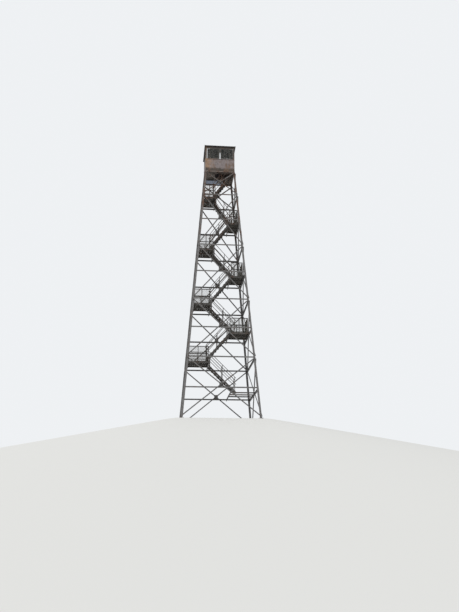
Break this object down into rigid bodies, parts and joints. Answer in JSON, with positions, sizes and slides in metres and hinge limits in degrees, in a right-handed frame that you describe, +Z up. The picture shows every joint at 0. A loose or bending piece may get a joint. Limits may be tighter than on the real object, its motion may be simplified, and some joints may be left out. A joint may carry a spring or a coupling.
{
  "type": "fire lookout tower",
  "caption": "Weathered steel lookout tower: leaning lattice legs, switchback stairs and landings inside, and a small square glazed cab with a low hipped roof on top.",
  "frame": {"origin": "on the ground, under the middle of the tower", "axes": "+X to the right along the near side, +Y away from the viewer, +Z up along the height"},
  "size_m": [5.29, 5.29, 20.678],
  "materials": {
    "leg_steel": "weathered and rusting galvanized angle",
    "lattice_steel": "weathered galvanized angle with rust",
    "landing_steel": "weathered galvanized steel with rust",
    "deck_wood": "dark weathered planks",
    "stair_steel": "weathered galvanized steel with rust",
    "tread_wood": "dark weathered planks",
    "floor_wood": "dark weathered planks",
    "cab_steel": "rusted sheet with worn paint",
    "cab_trim": "rusted painted angle",
    "cab_glass": "dirty window glass",
    "roof_steel": "dark rusted sheet"
  },
  "bodies": {
    "root": {"cab_far_wall": "cab_steel", "cab_far_windows": "cab_trim", "cab_floor": "floor_wood", "cab_floor_frame": "lattice_steel", "cab_glass": "cab_glass", "cab_left_wall": "cab_steel", "cab_left_windows": "cab_trim", "cab_near_wall": "cab_steel", "cab_near_windows": "cab_trim", "cab_posts": "cab_trim", "cab_right_wall": "cab_steel", "cab_right_windows": "cab_trim", "cab_roof": "roof_steel", "cab_top_plate": "cab_trim", "far_braces": "lattice_steel", "far_girts": "lattice_steel", "far_left_leg": "leg_steel", "far_right_leg": "leg_steel", "feet": "leg_steel", "flight_2_strings": "stair_steel", "flight_3_strings": "stair_steel", "flight_4_strings": "stair_steel", "flight_5_strings": "stair_steel", "flight_6_strings": "stair_steel", "flight_7_strings": "stair_steel", "flight_8_strings": "stair_steel", "flight_9_strings": "stair_steel", "landing_1": "landing_steel", "landing_2": "landing_steel", "landing_3": "landing_steel", "landing_4": "landing_steel", "landing_5": "landing_steel", "landing_6": "landing_steel", "landing_7": "landing_steel", "landing_8": "landing_steel", "landing_decks": "deck_wood", "left_braces": "lattice_steel", "left_girts": "lattice_steel", "near_braces": "lattice_steel", "near_girts": "lattice_steel", "near_left_leg": "leg_steel", "near_right_leg": "leg_steel", "right_braces": "lattice_steel", "right_girts": "lattice_steel", "stair_beams": "lattice_steel", "treads_rising_left": "tread_wood", "treads_rising_right": "tread_wood"}
  },
  "joints": []
}
